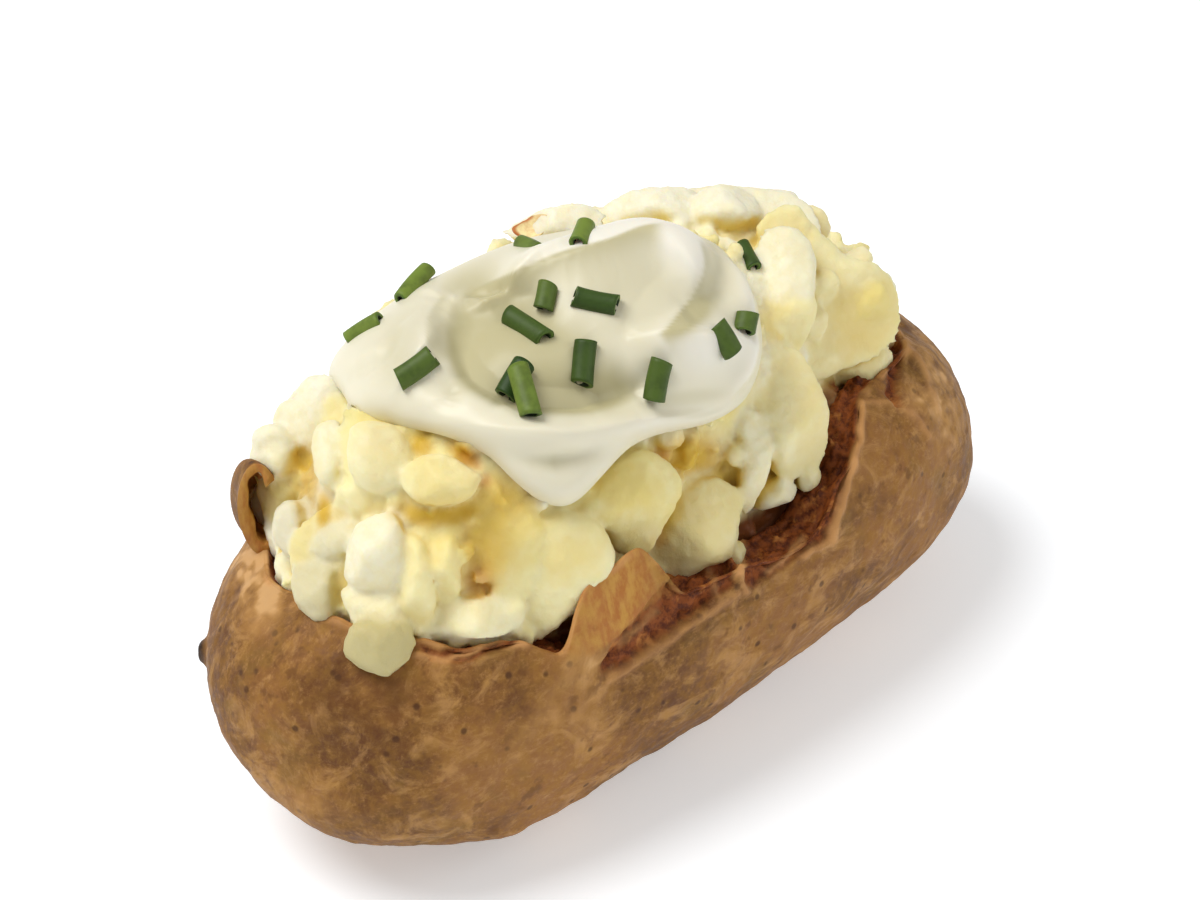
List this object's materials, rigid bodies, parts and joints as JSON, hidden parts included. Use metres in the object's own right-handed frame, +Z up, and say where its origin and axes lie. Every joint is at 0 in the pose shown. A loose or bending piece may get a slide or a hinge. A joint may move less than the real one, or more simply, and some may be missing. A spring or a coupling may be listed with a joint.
{
  "type": "baked potato",
  "caption": "Large baked potato, split open along the top, with fluffed flesh heaped out of the browned skin under a spoonful of sour cream and chopped chives.",
  "frame": {"origin": "under the middle of the whole, on the surface that the potato rests on", "axes": "+Z up, the potato's long axis along X, with the cream nearer -X and the loose strip of skin on the -Y side"},
  "size_m": [0.1422, 0.0742, 0.0862],
  "materials": {
    "skin": "dry baked skin, netted and freckled, browner where it tore",
    "flesh": "moist, fluffed, pale yellow with golden hollows",
    "sour_cream": "thick and smooth with a soft gloss",
    "chives": "fresh cut tubes with a waxy skin"
  },
  "bodies": {
    "root": {"jacket": "skin", "flesh": "flesh", "sour_cream": "sour_cream"}
  },
  "joints": []
}
